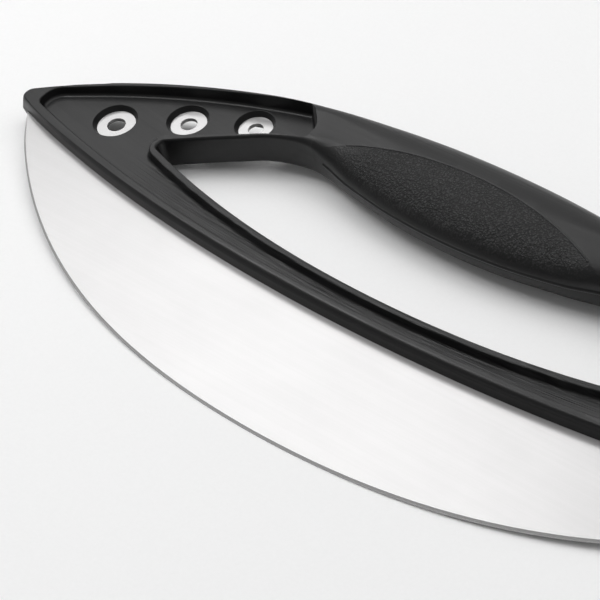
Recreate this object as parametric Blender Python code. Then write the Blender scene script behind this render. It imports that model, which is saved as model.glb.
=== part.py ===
"""Rocking pizza cutter: a curved steel blade moulded into a one-piece frame handle.

The cutter lies on its back. X runs along the blade, Y from the cutting edge up to
the arch of the handle, and Z through the thickness. Left and right are alike, and
so are front and back. Plan heights are measured from the base line, which touches
the lowest point of the bar's lower line. The origin is the middle of the outline,
level with the surface that the back of the grip touches.
"""

import math

import bmesh
import bpy
from mathutils import Vector

MM = 0.001

# Arch of the handle: the lines are drawn over this half length, the noses end just past it
HALF_LENGTH = 180.0 * MM
ARCH_CROWN = 85.0 * MM
ARCH_END = 29.15 * MM
ARCH_RADIUS = (HALF_LENGTH ** 2 + (ARCH_CROWN - ARCH_END) ** 2) / (2 * (ARCH_CROWN - ARCH_END))
NOSE_RADIUS = 3.4 * MM
NOSE_LEAN = 2.3 * MM
NOSE_LEAN_START = 0.911 * HALF_LENGTH
BAR_LEAN = 0.5 * MM

# Bar along the blade: its lower and upper lines rise towards the ends
BAR_LOW_RISE = 19.1 * MM
BAR_LOW_FLICK = 3.5 * MM
BAR_WIDTH = 12.0 * MM
BAR_TOP_RISE = 34.2 * MM
BAR_TOP_FLICK = 10.7 * MM

# Finger opening: its upper line, as shares of the half length and of the arch crown
OPENING_TOP_SHARES = (
    (0.000, 0.558), (0.133, 0.572), (0.256, 0.615), (0.333, 0.661), (0.378, 0.676),
    (0.422, 0.659), (0.467, 0.622), (0.511, 0.5635), (0.556, 0.501), (0.622, 0.405),
    (0.690, 0.300),
)
OPENING_CORNER_RADIUS = 3.0 * MM

# Thickness of the handle, and how the grip swells out of the arch. The swelling and the
# rounding are shares of the full ones, at shares of the half length.
FRAME_HALF_THICKNESS = 6.5 * MM
GRIP_HALF_THICKNESS = 12.6 * MM
ARCH_SWELL_SHARES = (
    (0.000, 1.00), (0.222, 0.87), (0.389, 0.62), (0.556, 0.35), (0.694, 0.23),
    (0.833, 0.14), (0.933, 0.03), (1.000, 0.00),
)
ARCH_ROUNDING_SHARES = (
    (0.000, 0.950), (0.139, 0.915), (0.278, 0.820), (0.389, 0.620), (0.500, 0.220),
    (0.611, 0.070), (0.722, 0.000),
)
OPENING_SWELL_SHARES = (
    (0.000, 1.00), (0.111, 0.96), (0.222, 0.83), (0.306, 0.62), (0.389, 0.26),
    (0.444, 0.08), (0.489, 0.00), (0.611, 0.00),
)
OPENING_ROUNDING_SHARES = (
    (0.000, 0.955), (0.111, 0.965), (0.222, 0.960), (0.306, 0.740), (0.389, 0.220),
    (0.444, 0.050), (0.489, 0.000), (0.611, 0.000),
)
SWELL_SHARES = (ARCH_SWELL_SHARES, OPENING_SWELL_SHARES)
ROUNDING_SHARES = (ARCH_ROUNDING_SHARES, OPENING_ROUNDING_SHARES)
EDGE_RADIUS = 1.3 * MM

# Recess in each face of the frame
FLOOR_HALF_THICKNESS = 2.9 * MM
OUTER_RIM = 2.0 * MM
LOWER_RIM = 4.0 * MM
OPENING_RIM = 2.9 * MM
ARM_RIM = 1.4 * MM
ARM_RIM_POWER = 4
RIM_EDGE = 0.35 * MM
WALL_DRAFT = 0.4 * MM
RECESS_NOSE_RIM = 8.1 * MM
RECESS_NOSE = HALF_LENGTH - RECESS_NOSE_RIM
RECESS_NOSE_TOP_RADIUS = 7.5 * MM
RECESS_NOSE_TOP_REACH = 12.0 * MM
RECESS_NOSE_LOW_RADIUS = 3.4 * MM
RECESS_CORNER_RADIUS = 2.0 * MM
RECESS_HEEL = 0.3833 * HALF_LENGTH
RECESS_HEEL_SLANT = 9.0 * MM
RECESS_HEEL_RADIUS = 4.5 * MM
CUT_OVERRUN = 6.0 * MM

# Round windows that show the tang, from the nose inwards: place as shares of the half
# length and of the arch's height there, width and tang hole
WINDOW_PLACE_SHARES = ((0.7861, 0.6512), (0.6539, 0.7659), (0.5233, 0.8262))
WINDOW_RADII = (8.3 * MM, 7.8 * MM, 7.4 * MM)
TANG_HOLE_RADII = (3.5 * MM, 3.2 * MM, 2.9 * MM)
WINDOW_TAPER = 1.05 * MM

# Blade: the distance of the edge from the rocking centre grows towards the tips
BLADE_HALF_THICKNESS = 0.75 * MM
ROCK_CENTRE = 69.6 * MM
ROCK_RADIUS = 120.1 * MM
ROCK_EASE = 1.6 * MM
TIP_INSET = 3.1 * MM
TIP_CURL = 100.0 * MM
TIP_CURL_ANGLE = 1.2
EDGE_HALF_THICKNESS = 0.15 * MM
GRIND_WIDTH = 2.6 * MM
TANG_OUTER_INSET = 4.5 * MM
TANG_OPENING_INSET = 3.6 * MM
TANG_NOSE = HALF_LENGTH - 2 * BLADE_HALF_THICKNESS - NOSE_RADIUS
TANG_HEEL_INSET = 14.5 * MM
TANG_HEEL = RECESS_HEEL + TANG_HEEL_INSET
TANG_HEEL_RADIUS = 4.0 * MM

# Holes through the hidden part of the blade, which the moulded pegs fill
ANCHOR_COUNT = 7
ANCHOR_PITCH = 30.0 * MM
ANCHOR_RADIUS = 2.0 * MM

# Soft grip moulded over the underside of the handle
CREASE_CROWN = 70.4 * MM
CREASE_RADIUS = 141.0 * MM
GRIP_DEPTH = 2.5 * MM
GRIP_ZONE_REACH = 0.3667 * HALF_LENGTH
GRIP_RUN_OUT = 2.0 * MM
SQUARE_REACH = GRIP_ZONE_REACH + GRIP_RUN_OUT

# Room left between pieces that touch
CLEARANCE = 0.3 * MM

# Surface finishes: colour, roughness and share of metal
STEEL_FINISH = ((0.78, 0.78, 0.77), 0.28, 1.0)
PLASTIC_FINISH = ((0.016, 0.016, 0.017), 0.42, 0.0)
RUBBER_FINISH = ((0.014, 0.014, 0.015), 0.62, 0.0)

# Fineness of the curves, and how much closer the outer steps get towards the noses
LEAST_STEP = 0.2 * MM
SLOPE_STEP = 0.07 * MM
ARCH_SPREAD_POWER = 1.7
BAR_SPREAD_POWER = 3
ARCH_STEPS = 30
BAR_STEPS = 14
NOSE_STEPS = 6
CORNER_STEPS = 4
EDGE_STEPS = 36
ROUND_STEPS = 5
CIRCLE_SIDES = 28
SHARP_ANGLE = math.radians(35)
SEARCH_STEPS = 48


# Plan lines

def arch_y(x):
    """Height of the arch's outer line."""
    return ARCH_CROWN - ARCH_RADIUS + math.sqrt(ARCH_RADIUS ** 2 - x ** 2)


def bar_low_y(x):
    """Height of the line where the blade leaves the bar."""
    share = x / HALF_LENGTH
    return BAR_LOW_RISE * share ** 2 + BAR_LOW_FLICK * share ** 4


def bar_top_y(x):
    """Height of the opening's lower line."""
    share = x / HALF_LENGTH
    return BAR_WIDTH + BAR_TOP_RISE * share ** 2 + BAR_TOP_FLICK * share ** 4


def smooth(shares, x):
    """Value at x of a smooth curve through a table of shares, alike on both sides."""
    points = [(-shares[1][0], shares[1][1])] + list(shares)
    x = min(abs(x) / HALF_LENGTH, points[-1][0])
    last = len(points) - 1
    index = 1
    while index < last - 1 and x > points[index + 1][0]:
        index += 1
    before, start, end = points[index - 1], points[index], points[index + 1]
    after = points[index + 2] if index + 2 < len(points) else end
    span = end[0] - start[0]
    share = (x - start[0]) / span
    slope_start = (end[1] - before[1]) / (end[0] - before[0]) * span
    slope_end = (after[1] - start[1]) / (after[0] - start[0]) * span
    square, cube = share ** 2, share ** 3
    return (
        (2 * cube - 3 * square + 1) * start[1]
        + (cube - 2 * square + share) * slope_start
        + (3 * square - 2 * cube) * end[1]
        + (cube - square) * slope_end
    )


def opening_top_y(x):
    """Height of the opening's upper line."""
    return ARCH_CROWN * smooth(OPENING_TOP_SHARES, x)


def crease_y(x):
    """Height of the line where the soft grip meets the spine of the handle."""
    return CREASE_CROWN - CREASE_RADIUS + math.sqrt(CREASE_RADIUS ** 2 - x ** 2)


def tip_turn():
    """The blade's tip on the bar's lower line: its angle from straight down, its reach."""
    x = HALF_LENGTH - TIP_INSET
    run = Vector((x, ROCK_CENTRE - bar_low_y(x)))
    return math.atan2(run.x, run.y), run.length


def edge_ease(angle):
    """How far the edge draws in towards the tips."""
    return ROCK_EASE * angle ** 4 + TIP_CURL * max(0, angle - TIP_CURL_ANGLE) ** 2


def edge_point(angle):
    """Point of the cutting edge, by its angle from straight down."""
    tip_angle, tip_reach = tip_turn()
    spread = (tip_reach + edge_ease(tip_angle) - ROCK_RADIUS) / tip_angle ** 2
    reach = ROCK_RADIUS + spread * angle ** 2 - edge_ease(angle)
    return Vector((reach * math.sin(angle), ROCK_CENTRE - reach * math.cos(angle)))


def nearest(line, point, low, high):
    """Point of a plan line between two x values that lies nearest to a point."""
    def gap(x):
        return (Vector((x, line(x))) - point).length

    for _ in range(SEARCH_STEPS):
        third = (high - low) / 3
        if gap(low + third) < gap(high - third):
            high -= third
        else:
            low += third
    x = (low + high) / 2
    return Vector((x, line(x)))


def fillet(upper, lower, radius, inner, outer):
    """Circle that touches two closing lines: its centre and where it touches them."""
    step = SLOPE_STEP
    reach = (outer - inner) / 2
    low, high = inner, outer
    for _ in range(SEARCH_STEPS):
        x = (low + high) / 2
        slope = Vector((2 * step, upper(x + step) - upper(x - step))).normalized()
        touch = Vector((x, upper(x)))
        centre = touch + Vector((slope.y, -slope.x)) * radius
        foot = nearest(lower, centre, centre.x - reach, centre.x + reach)
        if (foot - centre).length > radius and foot.y < centre.y:
            low = x
        else:
            high = x
    return centre, touch, foot


def arc(centre, radius, start, end, steps):
    """Points of a circle from one angle to another, ends included."""
    angles = [start + (end - start) * i / steps for i in range(steps + 1)]
    return [centre + radius * Vector((math.cos(a), math.sin(a))) for a in angles]


def fillet_arc(centre, radius, touch, foot):
    """The fillet's points from its upper to its lower touching point."""
    start = math.atan2(touch.y - centre.y, touch.x - centre.x)
    end = math.atan2(foot.y - centre.y, foot.x - centre.x)
    return arc(centre, radius, start, end, NOSE_STEPS)


def round_corner(before, corner, after, radius):
    """Arc that rounds a corner between two straight runs."""
    back = (before - corner).normalized()
    ahead = (after - corner).normalized()
    half = back.angle(ahead) / 2
    cut = radius / math.tan(half)
    centre = corner + (back + ahead).normalized() * radius / math.sin(half)
    start = corner + back * cut - centre
    end = corner + ahead * cut - centre
    turn = start.angle_signed(end)
    first = math.atan2(start.y, start.x)
    return arc(centre, radius, first, first - turn, ROUND_STEPS)


def offset(points, distance, closed=True):
    """Points moved sideways: to the right of their run for a positive distance."""
    return offset_by(points, [distance] * len(points), closed)


def offset_by(points, distances, closed=True):
    """Points moved sideways, each by its own distance."""
    moved = []
    count = len(points)
    for i, (point, distance) in enumerate(zip(points, distances)):
        before = points[i - 1] if closed or i else point
        after = points[(i + 1) % count] if closed or i < count - 1 else point
        run = (after - before).normalized()
        moved.append(point + Vector((run.y, -run.x)) * distance)
    return moved


def spaced(points):
    """The points without those that lie almost on the one before."""
    kept = points[:1]
    for point in points[1:]:
        if (point - kept[-1]).length > LEAST_STEP:
            kept.append(point)
    return kept


def mirrored(points):
    """The same points on the left side, in reverse order."""
    return [Vector((-p.x, p.y)) for p in reversed(points)]


def whole(right_half):
    """Closed loop from a right half that starts and ends on the middle line."""
    return right_half + mirrored(right_half)[1:-1]


# Closed loops of the frame, clockwise from the crown

def frame_halves():
    """Right halves of the outer and inner loops, point for point."""
    nose, nose_touch, nose_foot = fillet(
        arch_y, bar_low_y, NOSE_RADIUS, HALF_LENGTH / 2, HALF_LENGTH + 2 * NOSE_RADIUS)
    corner, corner_touch, corner_foot = opening_corner()
    outer, inner = [], []
    stretch = nose_touch.x - corner_touch.x
    for i in range(ARCH_STEPS):
        x = corner_touch.x * i / ARCH_STEPS
        beyond = max(0, x - SQUARE_REACH) / (corner_touch.x - SQUARE_REACH)
        x_out = x + stretch * beyond ** ARCH_SPREAD_POWER
        inner.append(Vector((x, opening_top_y(x))))
        outer.append(Vector((x_out, arch_y(x_out))))
    inner += fillet_arc(corner, OPENING_CORNER_RADIUS, corner_touch, corner_foot)
    outer += fillet_arc(nose, NOSE_RADIUS, nose_touch, nose_foot)
    stretch = nose_foot.x - corner_foot.x
    for i in range(BAR_STEPS - 1, -1, -1):
        share = i / BAR_STEPS
        x = corner_foot.x * share
        x_out = x + stretch * share ** BAR_SPREAD_POWER
        inner.append(Vector((x, bar_top_y(x))))
        outer.append(Vector((x_out, bar_low_y(x_out))))
    return outer, inner


def growth(point, tables):
    """How far the handle has grown into the grip at a plan point, from 0 to 1."""
    x = abs(point.x)
    under = opening_top_y(x)
    if point.y < (bar_top_y(x) + under) / 2:
        return 0.0
    arch_side, opening_side = [smooth(shares, x) for shares in tables]
    across = min(1, max(0, (point.y - under) / (arch_y(x) - under)))
    return opening_side + (arch_side - opening_side) * across


def face_height(point):
    """Height of the front face above the middle of the thickness."""
    rise = GRIP_HALF_THICKNESS - FRAME_HALF_THICKNESS
    return FRAME_HALF_THICKNESS + rise * growth(point, SWELL_SHARES)


def lean(point):
    """How far the outer wall leans in from the middle of its thickness to its face."""
    share = max(0, (abs(point.x) - NOSE_LEAN_START) / (HALF_LENGTH - NOSE_LEAN_START))
    base = BAR_LEAN if point.y < bar_top_y(point.x) else 0
    return base + (NOSE_LEAN - base) * min(1, share) ** 2


def section(inner, outer, inset=0.0):
    """Closed section of the handle from an outer to an inner point of the plan."""
    across = (outer - inner).normalized()
    half_width = (outer - inner).length / 2 - inset
    middle = (outer + inner) / 2
    corners = []
    for side, end in ((1, outer), (-1, inner)):
        height = face_height(end) - inset
        share = growth(end, ROUNDING_SHARES)
        radius = min(EDGE_RADIUS, half_width / 2)
        wide = radius + (half_width - radius) * share
        tall = radius + (height - radius) * share
        corners.append((side, height, wide, tall))
    points = []
    wall = middle + across * half_width
    for (side, height, wide, tall), turns in ((corners[0], (90, 0, -90)), (corners[1], (-90, 0, 90))):
        for start, end in zip(turns, turns[1:]):
            if side > 0 and start == 0:
                points.append(Vector((wall.x, wall.y, 0)))
            for i in range(CORNER_STEPS + 1):
                angle = math.radians(start + (end - start) * i / CORNER_STEPS)
                up = 1 if start + end > 0 else -1
                depth = height - tall * (1 - abs(math.sin(angle)))
                inward = wide * (1 - math.cos(angle))
                if side > 0:
                    inward += lean(outer) * depth / height
                plan = middle + across * side * (half_width - inward)
                points.append(Vector((plan.x, plan.y, up * depth)))
    return points


# Meshes and objects

def finish_mesh(name, shell):
    """Mesh of a bmesh shell, with its faces turned outwards."""
    bmesh.ops.recalc_face_normals(shell, faces=shell.faces)
    mesh = bpy.data.meshes.new(name)
    shell.to_mesh(mesh)
    shell.free()
    return mesh


def lofted(name, rings, closed=False):
    """Skin over equal rings of points: a closed ring of sections, or a capped run."""
    shell = bmesh.new()
    rows = [[shell.verts.new(point) for point in ring] for ring in rings]
    pairs = list(zip(rows, rows[1:] + rows[:1])) if closed else list(zip(rows, rows[1:]))
    for first, second in pairs:
        for i in range(len(first)):
            j = (i + 1) % len(first)
            shell.faces.new((first[i], first[j], second[j], second[i]))
    if not closed:
        shell.faces.new(list(reversed(rows[0])))
        shell.faces.new(rows[-1])
    return finish_mesh(name, shell)


def levels(points, heights):
    """One ring of points for each height."""
    return [[Vector((p.x, p.y, z)) for p in points] for z in heights]


def discs(name, places, radii_and_heights):
    """Separate turned plugs at several places, each from its own radii and heights."""
    shell = bmesh.new()
    for (x, y), profile in zip(places, radii_and_heights):
        rows = []
        for radius, z in profile:
            ring = arc(Vector((x, y)), radius, 0, math.tau, CIRCLE_SIDES)[:-1]
            rows.append([shell.verts.new((p.x, p.y, z)) for p in ring])
        for first, second in zip(rows, rows[1:]):
            for i in range(CIRCLE_SIDES):
                j = (i + 1) % CIRCLE_SIDES
                shell.faces.new((first[i], first[j], second[j], second[i]))
        shell.faces.new(list(reversed(rows[0])))
        shell.faces.new(rows[-1])
    return finish_mesh(name, shell)


def add_object(name, mesh, parent, material=None):
    """Object in the scene for a mesh."""
    item = bpy.data.objects.new(name, mesh)
    bpy.context.scene.collection.objects.link(item)
    item.parent = parent
    if material:
        mesh.materials.append(material)
    return item


def add_cutter(name, mesh, parent):
    """Guide body that only cuts others."""
    item = add_object(name, mesh, parent)
    item.display_type = "WIRE"
    item.hide_render = True
    return item


def combine(item, tool, operation):
    """Cut, join or trim an object by another one."""
    step = item.modifiers.new(tool.name, "BOOLEAN")
    step.operation = operation
    step.solver = "EXACT"
    step.object = tool


def settle(item):
    """Make an object's cuts final and shade its round faces smooth."""
    graph = bpy.context.evaluated_depsgraph_get()
    mesh = bpy.data.meshes.new_from_object(item.evaluated_get(graph))
    item.modifiers.clear()
    item.data = mesh
    mesh.shade_smooth()
    mesh.set_sharp_from_angle(angle=SHARP_ANGLE)


def make_material(name, colour, roughness, metallic):
    """Plain surface finish."""
    material = bpy.data.materials.new(name)
    material.use_nodes = True
    surface = material.node_tree.nodes["Principled BSDF"]
    surface.inputs["Base Color"].default_value = (*colour, 1)
    surface.inputs["Roughness"].default_value = roughness
    surface.inputs["Metallic"].default_value = metallic
    return material


# Blade

def tang_half(outer, inner, room):
    """Right half of the blade's hidden outline, from its corner to the middle line."""
    along_arch = offset(outer[:ARCH_STEPS], TANG_OUTER_INSET - room, closed=False)
    heel_top = [p for p in along_arch if TANG_HEEL + TANG_HEEL_RADIUS + room < p.x < TANG_NOSE]
    along_opening = offset(inner, room - TANG_OPENING_INSET, closed=False)
    heel = TANG_HEEL - room
    low = [p for i, p in enumerate(along_opening)
           if i >= ARCH_STEPS or p.x > heel + TANG_HEEL_RADIUS]
    top_corner = Vector((heel, nearest_height(along_arch, heel)))
    low_corner = Vector((heel, nearest_height(along_opening[:ARCH_STEPS], heel)))
    path = list(reversed(heel_top))
    path += round_corner(heel_top[0], top_corner, low_corner, TANG_HEEL_RADIUS)
    path += round_corner(top_corner, low_corner, low[0], TANG_HEEL_RADIUS)
    path += low
    path[-1].x = 0
    return path


def nearest_height(points, x):
    """Height of a run of points at x."""
    for first, second in zip(points, points[1:]):
        if min(first.x, second.x) <= x <= max(first.x, second.x):
            share = (x - first.x) / (second.x - first.x)
            return first.y + (second.y - first.y) * share
    return points[-1].y


def blade_outline(outer, inner, room):
    """Closed outline of the blade, and which of its points lie on the cutting edge."""
    last, _ = tip_turn()
    edge = [edge_point(last * i / EDGE_STEPS) for i in range(EDGE_STEPS + 1)]
    if room:
        edge = offset(edge, room, closed=False)
        edge[0].x = 0
    half = edge + tang_half(outer, inner, room)
    ground = [i < EDGE_STEPS for i in range(len(half))]
    loop = whole(half)
    return loop, ground + list(reversed(ground))[1:-1]


def blade_mesh(outer, inner):
    """Steel plate, ground thin along its cutting edge on both sides."""
    loop, ground = blade_outline(outer, inner, 0)
    thinned = offset(loop, -GRIND_WIDTH)
    face = [b if g else a for a, b, g in zip(loop, thinned, ground)]
    rings = []
    for points, z in (
        (face, -BLADE_HALF_THICKNESS), (loop, -EDGE_HALF_THICKNESS),
        (loop, EDGE_HALF_THICKNESS), (face, BLADE_HALF_THICKNESS),
    ):
        rings += levels(points, (z,))
    return lofted("blade", rings)


def anchor_places():
    """Middles of the anchor holes, half way up the bar."""
    first = -(ANCHOR_COUNT - 1) / 2
    xs = [(first + i) * ANCHOR_PITCH for i in range(ANCHOR_COUNT)]
    return [(x, (bar_low_y(x) + bar_top_y(x) - TANG_OPENING_INSET) / 2) for x in xs]


def window_places():
    """Middles of all windows, right side first."""
    xs = [along * HALF_LENGTH for along, _ in WINDOW_PLACE_SHARES]
    right = [(x, up * arch_y(x)) for x, (_, up) in zip(xs, WINDOW_PLACE_SHARES)]
    return right + [(-x, y) for x, y in right]


def make_blade(outer, inner, parent):
    """Blade with its window holes and anchor holes."""
    steel = make_material("satin_steel", *STEEL_FINISH)
    blade = add_object("blade", blade_mesh(outer, inner), parent, steel)
    reach = 2 * BLADE_HALF_THICKNESS
    places = window_places() + anchor_places()
    radii = list(TANG_HOLE_RADII) * 2 + [ANCHOR_RADIUS] * ANCHOR_COUNT
    plugs = [((radius, -reach), (radius, reach)) for radius in radii]
    combine(blade, add_cutter("tang_holes", discs("tang_holes", places, plugs), parent),
            "DIFFERENCE")
    settle(blade)


# Frame handle

def opening_rim(index, point):
    """Width of the rim between the recess and the opening: thin along the arch."""
    if index >= ARCH_STEPS:
        return OPENING_RIM
    share = max(0, (point.x - RECESS_HEEL) / (inner_reach() - RECESS_HEEL))
    return ARM_RIM + (OPENING_RIM - ARM_RIM) * share ** ARM_RIM_POWER


def inner_reach():
    """Where the opening's upper line ends at its rounded corner."""
    return opening_corner()[1].x


def opening_corner():
    """Rounded corner of the opening."""
    return fillet(opening_top_y, bar_top_y, OPENING_CORNER_RADIUS, SQUARE_REACH, HALF_LENGTH)


def recess_outline(outer, inner):
    """Closed plan of the recess: both end pockets and the channel along the bar."""
    along_bar = offset(outer[-BAR_STEPS:], LOWER_RIM, closed=False)
    along_arch = offset(outer[:ARCH_STEPS], OUTER_RIM, closed=False)
    rims = [opening_rim(i, point) for i, point in enumerate(inner)]
    along_opening = offset_by(inner, [-rim for rim in rims], closed=False)
    low_limit = RECESS_NOSE - 2 * RECESS_NOSE_LOW_RADIUS
    top_limit = RECESS_NOSE - RECESS_NOSE_TOP_REACH
    heel_limit = RECESS_HEEL + RECESS_HEEL_SLANT
    path = [p for p in reversed(along_bar) if p.x < low_limit]
    path[0].x = 0
    top = [p for p in reversed(along_arch) if heel_limit + RECESS_HEEL_RADIUS < p.x < top_limit]
    under = [p for i, p in enumerate(along_opening)
             if i >= ARCH_STEPS or p.x > RECESS_HEEL + RECESS_HEEL_RADIUS]
    under[-1].x = 0
    nose_low = carry_on(path[-2], path[-1], RECESS_NOSE)
    nose_top = carry_on(top[1], top[0], RECESS_NOSE)
    heel_top = carry_on(top[-2], top[-1], heel_limit)
    heel_low = carry_on(under[1], under[0], RECESS_HEEL)
    heel_mid = Vector((RECESS_HEEL, heel_top.y - RECESS_HEEL_SLANT))
    path += round_corner(path[-1], nose_low, nose_top, RECESS_NOSE_LOW_RADIUS)
    path += round_corner(nose_low, nose_top, top[0], RECESS_NOSE_TOP_RADIUS)
    path += top
    path += round_corner(top[-1], heel_top, heel_mid, RECESS_CORNER_RADIUS)
    path += round_corner(heel_top, heel_mid, heel_low, RECESS_HEEL_RADIUS)
    path += round_corner(heel_mid, heel_low, under[0], RECESS_CORNER_RADIUS)
    path += under
    return whole(spaced(path))


def carry_on(before, last, x):
    """Point at x on the straight line through two points."""
    run = last - before
    return last + run * (x - last.x) / run.x


def recess_mesh(outline, side):
    """Body that sinks the recess into one face, with a broken edge at the rim."""
    floor = offset(outline, -WALL_DRAFT)
    flare = offset(outline, 2 * RIM_EDGE)
    rings = [[], [], [], []]
    for low, rim, high in zip(floor, outline, flare):
        edge = face_height(rim) - RIM_EDGE
        rings[0].append(Vector((low.x, low.y, side * FLOOR_HALF_THICKNESS)))
        rings[1].append(Vector((rim.x, rim.y, side * edge)))
        rings[2].append(Vector((high.x, high.y, side * (edge + 2 * RIM_EDGE))))
        rings[3].append(Vector((high.x, high.y, side * (GRIP_HALF_THICKNESS + CUT_OVERRUN))))
    return lofted("recess", rings)


def window_mesh():
    """Tapered plugs that open the windows from both faces down to the tang."""
    places, plugs = [], []
    slope = WINDOW_TAPER / (FLOOR_HALF_THICKNESS - BLADE_HALF_THICKNESS)
    for side in (1, -1):
        places += window_places()
        for radius in WINDOW_RADII * 2:
            top = radius + slope * RIM_EDGE
            plugs.append((
                (radius - WINDOW_TAPER, side * BLADE_HALF_THICKNESS),
                (top, side * (FLOOR_HALF_THICKNESS + RIM_EDGE)),
            ))
    return discs("windows", places, plugs)


def slot_cutter(outer, inner, parent):
    """Room for the blade inside the frame, with the anchor pegs left standing."""
    loop, _ = blade_outline(outer, inner, CLEARANCE)
    half = BLADE_HALF_THICKNESS + CLEARANCE
    slot = add_cutter("blade_slot", lofted("blade_slot", levels(loop, (-half, half))), parent)
    radius = ANCHOR_RADIUS - CLEARANCE
    pegs = [((radius, -2 * half), (radius, 2 * half))] * ANCHOR_COUNT
    combine(slot, add_cutter("pegs", discs("pegs", anchor_places(), pegs), parent),
            "DIFFERENCE")
    return slot


def grip_xs():
    """Where the square sections of the grip stand, from left to right."""
    _, inner = frame_halves()
    right = [p.x for p in inner[:ARCH_STEPS] if p.x <= SQUARE_REACH]
    return [-x for x in reversed(right[1:])] + right


def grip_loft(name, inset):
    """The grip's stretch of the handle, shrunk by an even depth."""
    rings = []
    for x in grip_xs():
        inner = Vector((x, opening_top_y(x)))
        outer = Vector((x, arch_y(x)))
        rings.append(section(inner, outer, inset))
    return lofted(name, rings)


def grip_zone(name, room):
    """Block below the crease line, which the soft grip keeps to."""
    steps = EDGE_STEPS
    xs = [GRIP_ZONE_REACH * (2 * i / steps - 1) for i in range(steps + 1)]
    top = offset([Vector((x, crease_y(x))) for x in xs], -room, closed=False)
    low = bar_top_y(2 * GRIP_ZONE_REACH)
    loop = [Vector((top[0].x, low))] + top + [Vector((top[-1].x, low))]
    reach = GRIP_HALF_THICKNESS + CUT_OVERRUN
    return lofted(name, levels(loop, (-reach, reach)))


def make_frame(outer, inner, parent):
    """One-piece moulded frame: arch, grip core and bar round the finger opening."""
    plastic = make_material("black_plastic", *PLASTIC_FINISH)
    half = [section(i, o) for o, i in zip(outer, inner)]
    left = [[Vector((-p.x, p.y, p.z)) for p in ring] for ring in reversed(half[1:-1])]
    frame = add_object("handle_frame", lofted("handle_frame", half + left, closed=True),
                       parent, plastic)
    combine(frame, slot_cutter(outer, inner, parent), "DIFFERENCE")
    outline = recess_outline(outer, inner)
    for name, side in (("front_recess", 1), ("back_recess", -1)):
        combine(frame, add_cutter(name, recess_mesh(outline, side), parent), "DIFFERENCE")
    combine(frame, add_cutter("windows", window_mesh(), parent), "DIFFERENCE")
    seat = add_cutter("grip_seat", grip_zone("grip_seat", CLEARANCE), parent)
    combine(seat, add_cutter("grip_core", grip_loft("grip_core", GRIP_DEPTH), parent),
            "DIFFERENCE")
    combine(frame, seat, "DIFFERENCE")
    settle(frame)


# Soft grip

def make_grip(parent):
    """Soft skin round the grip's underside, from the front crease to the back one."""
    rubber = make_material("soft_grip", *RUBBER_FINISH)
    grip = add_object("soft_grip", grip_loft("soft_grip", 0), parent, rubber)
    combine(grip, add_cutter("grip_zone", grip_zone("grip_zone", 0), parent), "INTERSECT")
    bore = add_cutter("grip_bore", grip_loft("grip_bore", GRIP_DEPTH - CLEARANCE), parent)
    combine(grip, bore, "DIFFERENCE")
    settle(grip)


def clear_scene():
    """Remove what the scene holds."""
    for item in list(bpy.data.objects):
        bpy.data.objects.remove(item, do_unlink=True)


def main():
    """Build the cutter round its origin."""
    clear_scene()
    root = bpy.data.objects.new("cutter", None)
    bpy.context.scene.collection.objects.link(root)
    middle = (ARCH_CROWN + edge_point(0).y) / 2
    root.location = (0, -middle, GRIP_HALF_THICKNESS)
    outer, inner = frame_halves()
    make_blade(outer, inner, root)
    make_frame(outer, inner, root)
    make_grip(root)


main()
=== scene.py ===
"""Visual model of a rocking pizza cutter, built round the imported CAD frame.

X runs along the blade, Y from the cutting edge up to the arch of the handle and Z
through the thickness. Plan heights are measured from the bar's lowest point and
moved to the frame's origin when a mesh is made.
"""
import logging
import math
from dataclasses import dataclass, field
from enum import Enum
from typing import Callable, Sequence

import bmesh
import bpy
from mathutils import Matrix, Vector


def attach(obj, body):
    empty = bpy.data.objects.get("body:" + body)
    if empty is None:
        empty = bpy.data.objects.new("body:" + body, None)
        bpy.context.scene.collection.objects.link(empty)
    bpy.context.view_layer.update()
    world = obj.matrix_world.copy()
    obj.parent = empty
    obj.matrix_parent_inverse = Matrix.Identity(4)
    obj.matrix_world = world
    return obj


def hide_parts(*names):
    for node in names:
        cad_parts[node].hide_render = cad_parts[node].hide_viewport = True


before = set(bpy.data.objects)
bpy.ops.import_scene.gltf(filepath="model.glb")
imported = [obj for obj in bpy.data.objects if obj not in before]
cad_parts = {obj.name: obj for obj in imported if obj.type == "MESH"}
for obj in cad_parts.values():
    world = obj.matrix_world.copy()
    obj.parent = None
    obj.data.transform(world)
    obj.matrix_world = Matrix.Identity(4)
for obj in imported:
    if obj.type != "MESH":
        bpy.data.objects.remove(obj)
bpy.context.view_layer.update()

MM = 0.001
LOG = logging.getLogger("cutter")
SEARCH_STEPS = 48

Pair = tuple[float, float]
Triple = tuple[float, float, float]
Shares = Sequence[Pair]
Loop = list[Vector]
Paths = tuple[tuple[Triple, ...], ...]
Socket = bpy.types.NodeSocket
Piece = bpy.types.Object
Finish = bpy.types.Material

UNIT: Pair = (0.0, 1.0)
FALLING: Pair = (1.0, 0.0)
MIX_COLOURS = (6, 7)
MIX_RESULT = 2


class Side(Enum):
    """Face of the cutter that a cut is made into."""

    FRONT = 1
    BACK = -1


class Slot(Enum):
    """Material slots of the record."""

    STEEL = "satin_steel"
    PLASTIC = "black_plastic"
    GRIP = "soft_grip"


# Plan geometry


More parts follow.
